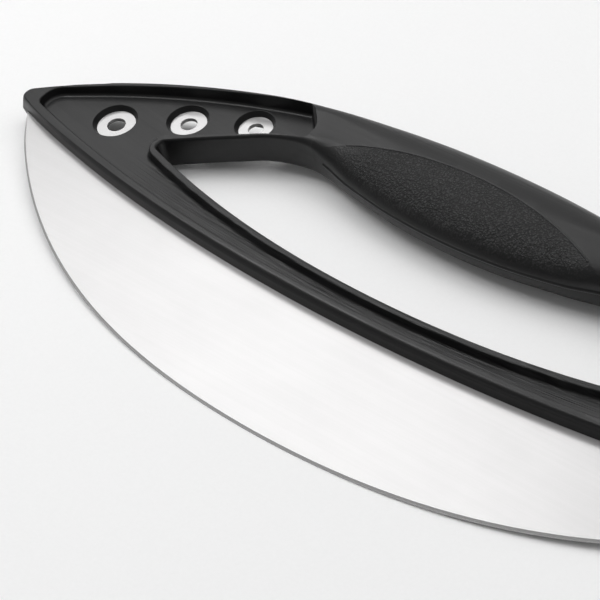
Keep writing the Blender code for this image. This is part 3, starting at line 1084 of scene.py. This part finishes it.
@dataclass(frozen=True)
class SweptRibs:
    """Thin ribs that follow paths, made by Geometry Nodes."""

    name: str
    paths: Paths
    radius: float
    spacing: float
    sides: int
    material: Finish

    def seed_object(self) -> Piece:
        """Object that holds the paths as runs of edges in the frame.

        Returns:
            The object.
        """
        shell = bmesh.new()
        for path in self.paths:
            spots = [shell.verts.new(Vector(point) + frame_shift()) for point in path]
            for first, second in zip(spots, spots[1:]):
                shell.edges.new((first, second))
        return mesh_object(self.name, shell)

    def tree(self) -> bpy.types.GeometryNodeTree:
        """Tree that sweeps a round rib along every path.

        Returns:
            The tree, with named inputs for its sizes.
        """
        tree = bpy.data.node_groups.new(self.name + "_sweep", "GeometryNodeTree")
        face = tree.interface
        face.new_socket("Geometry", in_out="INPUT", socket_type="NodeSocketGeometry")
        for title, kind in (("Rib Radius", "NodeSocketFloat"), ("Point Spacing", "NodeSocketFloat"),
                            ("Rib Sides", "NodeSocketInt"), ("Finish", "NodeSocketMaterial")):
            face.new_socket(title, in_out="INPUT", socket_type=kind)
        face.new_socket("Geometry", in_out="OUTPUT", socket_type="NodeSocketGeometry")
        kinds = ("NodeGroupInput", "GeometryNodeMeshToCurve", "GeometryNodeResampleCurve",
                 "GeometryNodeCurvePrimitiveCircle", "GeometryNodeCurveToMesh",
                 "GeometryNodeRealizeInstances", "GeometryNodeSetMaterial", "NodeGroupOutput")
        start, curve, even, ring, sweep, real, paint, end = [tree.nodes.new(k) for k in kinds]
        even.mode = "LENGTH"
        sweep.inputs["Fill Caps"].default_value = True
        for source, target in (
            (start.outputs["Geometry"], curve.inputs["Mesh"]),
            (curve.outputs["Curve"], even.inputs["Curve"]),
            (start.outputs["Point Spacing"], even.inputs["Length"]),
            (start.outputs["Rib Radius"], ring.inputs["Radius"]),
            (start.outputs["Rib Sides"], ring.inputs["Resolution"]),
            (even.outputs["Curve"], sweep.inputs["Curve"]),
            (ring.outputs["Curve"], sweep.inputs["Profile Curve"]),
            (sweep.outputs["Mesh"], real.inputs["Geometry"]),
            (real.outputs["Geometry"], paint.inputs["Geometry"]),
            (start.outputs["Finish"], paint.inputs["Material"]),
            (paint.outputs["Geometry"], end.inputs["Geometry"]),
        ):
            tree.links.new(source, target)
        return tree

    def make(self) -> Piece:
        """Sweep the ribs and turn them into a plain mesh.

        Returns:
            The object, with its modifier removed.
        """
        item = self.seed_object()
        tree = self.tree()
        step = item.modifiers.new("sweep", "NODES")
        step.node_group = tree
        values = {"Rib Radius": self.radius, "Point Spacing": self.spacing,
                  "Rib Sides": self.sides, "Finish": self.material}
        for socket in tree.interface.items_tree:
            if socket.in_out == "INPUT" and socket.name in values:
                step[socket.identifier] = values[socket.name]
        settle(item)
        item.data.shade_smooth()
        return item


# Blade


@dataclass
class Blade:
    """Steel plate with a ground edge, and its tang inside the frame."""

    loops: HandleLoops
    half_thickness: float = 0.75 * MM
    edge_half: float = 0.22 * MM
    grind_width: float = 0.75 * MM
    tip_grind: float = 5.0 * MM
    outer_inset: float = 4.5 * MM
    opening_inset: float = 3.6 * MM
    nose_inset: float = 4.9 * MM
    heel: float = 83.5 * MM
    heel_radius: float = 4.0 * MM
    heel_room: float = 1.5
    edge_steps: int = 120
    corner_steps: int = 8
    anchor_count: int = 7
    anchor_pitch: float = 30.0 * MM
    anchor_radius: float = 2.0 * MM
    hole_radii: Triple = (3.5 * MM, 3.2 * MM, 2.9 * MM)
    window_shares: Shares = ((0.7861, 0.6512), (0.6539, 0.7659), (0.5233, 0.8262))
    hole_sides: int = 72
    ground_tilt: Pair = (0.5, 0.999)
    sharp_degrees: float = 12.0

    def tang_half(self, room: float) -> Loop:
        """Right half of the hidden outline, from the tip to the middle line.

        Args:
            room: Distance outside the blade.

        Returns:
            Points of the half outline.
        """
        outer, inner = self.loops.halves()
        steps = self.loops.arch_steps
        nose = PLAN.half_length - self.nose_inset
        heel = self.heel - room
        arch = offset(outer[:steps], self.outer_inset - room, closed=False)
        top = [p for p in arch if heel + self.heel_room * self.heel_radius < p.x < nose]
        under = offset(inner, room - self.opening_inset, closed=False)
        low = [p for i, p in enumerate(under) if i >= steps or p.x > heel + self.heel_radius]
        top_corner = Vector((heel, height_at(arch, heel)))
        low_corner = Vector((heel, height_at(under[:steps], heel)))
        path = list(reversed(top))
        path += round_corner(top[0], top_corner, low_corner, self.heel_radius, self.corner_steps)
        path += round_corner(top_corner, low_corner, low[0], self.heel_radius, self.corner_steps)
        path += low
        path[-1].x = 0
        return path

    def outline(self, room: float) -> tuple[Loop, list[bool]]:
        """Closed outline, and which of its points lie on the cutting edge.

        Args:
            room: Distance outside the blade.

        Returns:
            The loop and one flag for each point.
        """
        last, _ = PLAN.tip_turn()
        edge = [PLAN.edge_point(last * i / self.edge_steps) for i in range(self.edge_steps + 1)]
        if room:
            edge = offset(edge, room, closed=False)
            edge[0].x = 0
        half = edge + self.tang_half(room)
        ground = [i < self.edge_steps for i in range(len(half))]
        return whole(half), ground + list(reversed(ground))[1:-1]

    def ground_loop(self, loop: Loop, ground: list[bool]) -> Loop:
        """Outline of the flat faces, which draws in where the edge is ground.

        Args:
            loop: Closed outline of the blade.
            ground: Which of its points lie on the cutting edge.

        Returns:
            The face's loop, point for point.
        """
        tip = PLAN.half_length - PLAN.tip_inset
        shares = [min(1, (tip - abs(p.x)) / self.tip_grind) for p in loop]
        widths = [-self.grind_width * share * on for share, on in zip(shares, ground)]
        return offset(loop, widths)

    def windows(self) -> list[Vector]:
        """Middles of all windows, right side first.

        Returns:
            Plan points.
        """
        right = []
        for along, up in self.window_shares:
            x = along * PLAN.half_length
            right.append(Vector((x, up * PLAN.arch_y(x))))
        return right + [Vector((-p.x, p.y)) for p in right]

    def anchors(self) -> list[Vector]:
        """Middles of the anchor holes, half way up the bar.

        Returns:
            Plan points.
        """
        first = -(self.anchor_count - 1) / 2
        xs = [(first + i) * self.anchor_pitch for i in range(self.anchor_count)]
        low, top = PLAN.bar_low_y, PLAN.bar_top_y
        return [Vector((x, (low(x) + top(x) - self.opening_inset) / 2)) for x in xs]

    def make(self, steel: Finish, ground_steel: Finish) -> Piece:
        """Build the blade.

        Args:
            steel: Finish of the flat faces.
            ground_steel: Finish of the ground edge.

        Returns:
            The blade's object.
        """
        loop, ground = self.outline(0)
        face = self.ground_loop(loop, ground)
        rings = [level(face, -self.half_thickness), level(loop, -self.edge_half),
                 level(loop, self.edge_half), level(face, self.half_thickness)]
        blade = solid("blade_visual", [rings])
        blade.data.materials.append(steel)
        blade.data.materials.append(ground_steel)
        reach = 2 * self.half_thickness
        radii = list(self.hole_radii) * 2 + [self.anchor_radius] * self.anchor_count
        holes = [((radius, -reach), (radius, reach)) for radius in radii]
        places = self.windows() + self.anchors()
        combine(blade, plugs("holes", places, holes, self.hole_sides))
        least, most = self.ground_tilt
        for polygon in blade.data.polygons:
            if least < abs(polygon.normal.z) < most:
                polygon.material_index = 1
        shade(blade, self.sharp_degrees)
        return blade


# Frame handle


@dataclass
class FrameHandle:
    """One-piece moulded frame with its recesses and windows."""

    loops: HandleLoops
    blade: Blade
    floor_half: float = 2.9 * MM
    outer_rim: float = 2.0 * MM
    lower_rim: float = 4.0 * MM
    opening_rim: float = 2.9 * MM
    arm_rim: float = 1.4 * MM
    arm_rim_power: int = 4
    rim_round: float = 0.55 * MM
    wall_draft: float = 0.4 * MM
    floor_round: float = 1.3 * MM
    nose_rim: float = 8.1 * MM
    nose_top_radius: float = 7.5 * MM
    nose_top_reach: float = 12.0 * MM
    nose_low_radius: float = 3.4 * MM
    corner_radius: float = 2.0 * MM
    heel: float = 69.0 * MM
    heel_slant: float = 9.0 * MM
    heel_radius: float = 4.5 * MM
    overrun: float = 6.0 * MM
    least_step: float = 0.12 * MM
    round_steps: int = 8
    corner_steps: int = 12
    window_radii: Triple = (8.3 * MM, 7.8 * MM, 7.4 * MM)
    window_taper: float = 1.05 * MM
    window_round: float = 0.3 * MM
    window_sides: int = 96
    slot_room: float = 0.04 * MM
    sharp_degrees: float = 30.0

    def rim_width(self, index: int, point: Vector) -> float:
        """Width of the rim between the recess and the opening.

        Args:
            index: Place of the point in the inner loop.
            point: Plan point of the inner loop.

        Returns:
            The width.
        """
        if index >= self.loops.arch_steps:
            return self.opening_rim
        _, touch, _ = self.loops.opening_corner().solve()
        share = max(0, (point.x - self.heel) / (touch.x - self.heel))
        return self.arm_rim + (self.opening_rim - self.arm_rim) * share ** self.arm_rim_power

    def recess_outline(self) -> Loop:
        """Closed plan of the recess: both end pockets and the channel along the bar.

        Returns:
            Points of the loop.
        """
        outer, inner = self.loops.halves()
        steps = self.loops.arch_steps
        along_bar = offset(outer[-self.loops.bar_steps:], self.lower_rim, closed=False)
        along_arch = offset(outer[:steps], self.outer_rim, closed=False)
        rims = [-self.rim_width(i, point) for i, point in enumerate(inner)]
        along_opening = offset(inner, rims, closed=False)
        nose = PLAN.half_length - self.nose_rim
        heel_limit = self.heel + self.heel_slant
        path = [p for p in reversed(along_bar) if p.x < nose - 2 * self.nose_low_radius]
        path[0].x = 0
        top = [p for p in reversed(along_arch)
               if heel_limit + self.heel_radius < p.x < nose - self.nose_top_reach]
        under = [p for i, p in enumerate(along_opening)
                 if i >= steps or p.x > self.heel + self.heel_radius]
        under[-1].x = 0
        nose_low = carry_on(path[-2], path[-1], nose)
        nose_top = carry_on(top[1], top[0], nose)
        heel_top = carry_on(top[-2], top[-1], heel_limit)
        heel_low = carry_on(under[1], under[0], self.heel)
        heel_mid = Vector((self.heel, heel_top.y - self.heel_slant))
        turns = (
            ((path[-1], nose_low, nose_top), self.nose_low_radius),
            ((nose_low, nose_top, top[0]), self.nose_top_radius),
            ((top[-1], heel_top, heel_mid), self.corner_radius),
            ((heel_top, heel_mid, heel_low), self.heel_radius),
            ((heel_mid, heel_low, under[0]), self.corner_radius),
        )
        arcs = [round_corner(*spots, radius, self.corner_steps) for spots, radius in turns]
        path += arcs[0] + arcs[1] + top + arcs[2] + arcs[3] + arcs[4] + under
        return whole(spaced(path, self.least_step))

    def rim(self, radius: float) -> list[Pair]:
        """Rounded rim of a hollow, from its wall up and out over the face.

        Args:
            radius: Radius of the rounding.

        Returns:
            Pairs of a distance outside the wall and a height over the face.
        """
        turn = quarter_round(radius, self.round_steps)[:-1]
        return [(run, -rise) for run, rise in turn] + [(2 * radius, radius)]

    def recess(self, side: Side) -> Piece:
        """Body that sinks the recess into one face, with rounded rim and floor.

        Args:
            side: Face that the recess is sunk into.

        Returns:
            The body.
        """
        outline = self.recess_outline()
        bottom = [(-self.wall_draft - rise, self.floor_half + run, False)
                  for run, rise in quarter_round(self.floor_round, self.round_steps)]
        rim = [(run, z, True) for run, z in self.rim(self.rim_round)]
        rings = []
        for shift, z, from_face in bottom + rim:
            moved = offset(outline, shift)
            heights = [PLAN.face_height(spot) + z if from_face else z for spot in outline]
            rings.append([Vector((p.x, p.y, side.value * h)) for p, h in zip(moved, heights)])
        rings.append(level(rings[-1], side.value * (PLAN.grip_half + self.overrun)))
        return solid("recess", [rings])

    def window_plugs(self) -> Piece:
        """Tapered plugs that open the windows from both faces down to the tang.

        Returns:
            The plugs.
        """
        places, profiles = [], []
        for side in Side:
            places += self.blade.windows()
            for radius in self.window_radii * 2:
                wall = [(-self.window_taper, self.blade.half_thickness)]
                wall += [(run, self.floor_half + z) for run, z in self.rim(self.window_round)]
                profiles.append([(radius + run, side.value * z) for run, z in wall])
        return plugs("windows", places, profiles, self.window_sides)

    def slot(self) -> Piece:
        """Room for the blade, with the anchor pegs left standing.

        Returns:
            The body.
        """
        loop, _ = self.blade.outline(self.slot_room)
        half = self.blade.half_thickness + self.slot_room
        slot = solid("slot", [[level(loop, -half), level(loop, half)]])
        radius = self.blade.anchor_radius - self.slot_room
        pegs = [((radius, -2 * half), (radius, 2 * half))] * self.blade.anchor_count
        combine(slot, plugs("pegs", self.blade.anchors(), pegs, self.blade.hole_sides))
        return slot

    def make(self, plastic: Finish, seat: Piece) -> Piece:
        """Build the frame.

        Args:
            plastic: Finish of the frame.
            seat: Body that makes room for the soft grip.

        Returns:
            The frame's object.
        """
        outer, inner = self.loops.halves()
        half = [self.loops.section(i, o) for o, i in zip(outer, inner)]
        left = [[Vector((-p.x, p.y, p.z)) for p in ring] for ring in reversed(half[1:-1])]
        body = solid("handle_visual", [half + left], closed=True)
        body.data.materials.append(plastic)
        recesses = [self.recess(side) for side in Side]
        for tool in (self.slot(), *recesses, self.window_plugs(), seat):
            combine(body, tool)
        shade(body, self.sharp_degrees)
        return body


# Soft grip


@dataclass
class SoftGrip:
    """Soft skin round the underside of the grip, with its crease and parting line."""

    loops: HandleLoops
    depth: float = 2.5 * MM
    gap: float = 0.12 * MM
    gap_reach: float = 54.0 * MM
    gap_power: int = 4
    gap_least: float = 0.08
    zone_reach: float = 66.0 * MM
    zone_steps: int = 160
    overrun: float = 6.0 * MM
    bead_radius: float = 0.42 * MM
    bead_sink: float = 0.14 * MM
    bead_reach: float = 52.0 * MM
    bead_sides: int = 12
    ridge_radius: float = 0.95 * MM
    ridge_sink: float = 0.50 * MM
    ridge_height: float = 1.2 * MM
    ridge_reach: float = 60.0 * MM
    ridge_sides: int = 16
    rib_step: float = 0.8 * MM
    path_steps: int = 150
    sharp_degrees: float = 35.0

    def ring(self, x: float, inset: float = 0.0) -> Loop:
        """Section of the handle's grip at x."""
        ends = Vector((x, PLAN.opening_top_y(x))), Vector((x, PLAN.arch_y(x)))
        return self.loops.section(*ends, inset)

    def crossings(self, x: float, axis: int, value: float) -> list[float]:
        """Where a straight line through the section at x meets its outline.

        Args:
            x: Distance from the middle line.
            axis: Axis that the line crosses at one value: 1 for Y, 2 for Z.
            value: The value on that axis.

        Returns:
            Values on the other of the two axes.
        """
        ring, other, found = self.ring(x), 3 - axis, []
        for first, second in zip(ring, ring[1:] + ring[:1]):
            low, high = sorted((first[axis], second[axis]))
            if low <= value <= high and high > low:
                share = (value - first[axis]) / (second[axis] - first[axis])
                found.append(first[other] + (second[other] - first[other]) * share)
        return found

    def loft(self, name: str, inset: float) -> Piece:
        """The grip's stretch of the handle, shrunk by an even depth.

        Args:
            name: Name of the body.
            inset: How far it is shrunk all round.

        Returns:
            The body.
        """
        _, inner = self.loops.halves()
        right = [p.x for p in inner[:self.loops.arch_steps] if p.x <= self.loops.square_reach]
        xs = [-x for x in reversed(right[1:])] + right
        return solid(name, [[self.ring(x, inset) for x in xs]])

    def zone(self, name: str, room: float) -> Piece:
        """Block below the crease line, which the soft grip keeps to.

        Args:
            name: Name of the body.
            room: Distance above the crease line, which closes towards the ends.

        Returns:
            The body.
        """
        xs = even_steps(self.zone_reach, self.zone_steps)
        shares = [max(self.gap_least, 1 - (abs(x) / self.gap_reach) ** self.gap_power) for x in xs]
        top = offset([Vector((x, PLAN.crease_y(x))) for x in xs],
                     [-room * share for share in shares], closed=False)
        low = PLAN.bar_top_y(2 * self.zone_reach)
        loop = [Vector((top[0].x, low))] + top + [Vector((top[-1].x, low))]
        reach = PLAN.grip_half + self.overrun
        return solid(name, [[level(loop, -reach), level(loop, reach)]])

    def seat(self) -> Piece:
        """Body that makes room for the skin in the frame.

        Returns:
            The body.
        """
        seat = self.zone("seat", self.gap)
        combine(seat, self.loft("core", self.depth))
        return seat

    def crease_paths(self) -> Paths:
        """Paths of the crease bead on both faces.

        Returns:
            One path for each face.
        """
        line = [(x, PLAN.crease_y(x)) for x in even_steps(self.bead_reach, self.path_steps)]
        heights = [max(self.crossings(x, 1, y)) - self.bead_sink for x, y in line]
        return tuple(tuple((x, y, side.value * z) for (x, y), z in zip(line, heights))
                     for side in Side)

    def ridge_path(self) -> Paths:
        """Path of the parting line under the grip.

        Returns:
            The one path.
        """
        z = self.ridge_height
        return (tuple((x, min(self.crossings(x, 2, z)) + self.ridge_sink, z)
                      for x in even_steps(self.ridge_reach, self.path_steps)),)

    def make(self, rubber: Finish) -> Piece:
        """Build the skin.

        Args:
            rubber: Finish of the skin.

        Returns:
            The grip's object.
        """
        skin = self.loft("grip_visual", 0)
        skin.data.materials.append(rubber)
        combine(skin, self.zone("zone", 0), "INTERSECT")
        combine(skin, self.loft("bore", self.depth - self.gap))
        shade(skin, self.sharp_degrees)
        return skin

    def ribs(self, plastic: Finish) -> list[Piece]:
        """Sweep the crease bead and the parting ridge along their paths.

        Args:
            plastic: Finish of the ribs.

        Returns:
            Both objects.
        """
        bead = SweptRibs("crease_bead", self.crease_paths(), self.bead_radius,
                         self.rib_step, self.bead_sides, plastic)
        ridge = SweptRibs("parting_ridge", self.ridge_path(), self.ridge_radius,
                          self.rib_step, self.ridge_sides, plastic)
        return [bead.make(), ridge.make()]


# Studio


@dataclass(frozen=True)
class Lamp:
    """Square soft lamp that faces the cutter."""

    name: str
    place: Triple
    size: float
    power: float

    def make(self) -> None:
        """Hang the lamp."""
        light = bpy.data.lights.new(self.name, "AREA")
        light.shape = "SQUARE"
        light.size = self.size
        light.energy = self.power
        item = add_object(self.name, light)
        item.location = self.place
        item.rotation_euler = (-Vector(self.place)).to_track_quat("-Z", "Y").to_euler()


@dataclass(frozen=True)
class Studio:
    """Floor, soft light, world and camera."""

    lamps: tuple[Lamp, ...] = (
        Lamp("key", (-0.38, 0.72, 1.38), 1.4, 2.4),
        Lamp("accent", (-0.80, 0.57, 1.10), 0.7, 3.4),
        Lamp("back", (-0.75, 1.25, 0.50), 0.9, 1.3),
        Lamp("crest", (-0.81, -0.12, 1.26), 0.6, 7.5),
        Lamp("left", (-1.26, 0.60, 0.45), 0.4, 0.5),
        Lamp("top", (0.50, 0.60, 1.60), 2.0, 13.0),
    )
    floor_size: float = 6.0
    rest_edge: Pair = (-50.5 * MM, -0.15 * MM)
    rest_belly: Pair = (65.5 * MM, -12.6 * MM)
    lens: float = 138.0
    sensor: float = 36.0
    clip_start: float = 0.01
    camera_place: Triple = (387.794 * MM, -344.330 * MM, 545.330 * MM)
    right: Triple = (0.75140315, 0.63943488, -0.16283838)
    down: Triple = (0.38103001, -0.62196085, -0.68409125)
    ahead: Triple = (-0.53871090, 0.45198201, -0.71098722)
    ambient: float = 0.22
    backdrop: float = 0.93

    def floor(self, paper: Finish) -> None:
        """Pale floor that the grip's belly and the blade's edge rest on.

        Args:
            paper: Finish of the floor.
        """
        edge, belly = Vector(self.rest_edge), Vector(self.rest_belly)
        run = (belly - edge).normalized()
        middle = Vector((0, edge.x, edge.y)) + frame_shift()
        half = self.floor_size / 2
        shell = bmesh.new()
        corners = [(-half, -half), (half, -half), (half, half), (-half, half)]
        shell.faces.new([shell.verts.new(middle + Vector((x, y * run.x, y * run.y)))
                         for x, y in corners])
        item = mesh_object("floor", shell)
        item.data.materials.append(paper)

    def world(self) -> None:
        """Plain world: pale behind the cutter, dimmer as a light."""
        world = bpy.data.worlds.new("studio")
        bpy.context.scene.world = world
        world.use_nodes = True
        nodes, links = world.node_tree.nodes, world.node_tree.links
        path = nodes.new("ShaderNodeLightPath")
        strength = nodes.new("ShaderNodeMapRange")
        strength.inputs["To Min"].default_value = self.ambient
        strength.inputs["To Max"].default_value = self.backdrop
        links.new(path.outputs["Is Camera Ray"], strength.inputs["Value"])
        links.new(strength.outputs["Result"], nodes["Background"].inputs["Strength"])
        nodes["Background"].inputs["Color"].default_value = (1, 1, 1, 1)

    def camera(self) -> None:
        """Camera at the photo's viewing angle."""
        data = bpy.data.cameras.new("camera")
        data.lens, data.sensor_width, data.clip_start = self.lens, self.sensor, self.clip_start
        item = add_object("camera", data)
        axes = Matrix((self.right, [-v for v in self.down], [-v for v in self.ahead]))
        place = Vector(self.camera_place) + frame_shift()
        item.matrix_world = Matrix.Translation(place) @ axes.transposed().to_4x4()
        bpy.context.scene.camera = item

    def make(self, paper: Finish) -> None:
        """Set the stage.

        Args:
            paper: Finish of the floor.
        """
        self.floor(paper)
        for lamp in self.lamps:
            lamp.make()
        self.world()
        self.camera()
        bpy.context.scene.view_settings.view_transform = "Standard"


def report(item: Piece, slot: Slot, *nodes: str) -> None:
    """Tie a piece to the frame and log it.

    Args:
        item: Finished piece.
        slot: Material slot that is named in the log.
        *nodes: CAD nodes that it stands for.
    """
    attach(item, "root")
    if nodes:
        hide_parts(*nodes)
    item.data.calc_loop_triangles()
    LOG.info("%s: %d triangles, %s", item.name, len(item.data.loop_triangles), slot.value)


def main() -> None:
    """Build the cutter and its studio."""
    logging.basicConfig(level=logging.INFO, format="%(name)s %(message)s")
    steel = SatinSteel().make("satin_steel")
    ground = GROUND_STEEL.make("ground_steel")
    plastic = MouldedPlastic().make("black_plastic")
    rubber = SoftRubber().make("soft_rubber")
    loops = HandleLoops()
    blade = Blade(loops)
    grip = SoftGrip(loops)
    report(blade.make(steel, ground), Slot.STEEL, "blade")
    report(FrameHandle(loops, blade).make(plastic, grip.seat()), Slot.PLASTIC, "handle_frame")
    report(grip.make(rubber), Slot.GRIP, "soft_grip")
    for rib in grip.ribs(plastic):
        report(rib, Slot.GRIP)
    Studio().make(StudioPaper().make("studio_paper"))


if __name__ == "__main__":
    main()
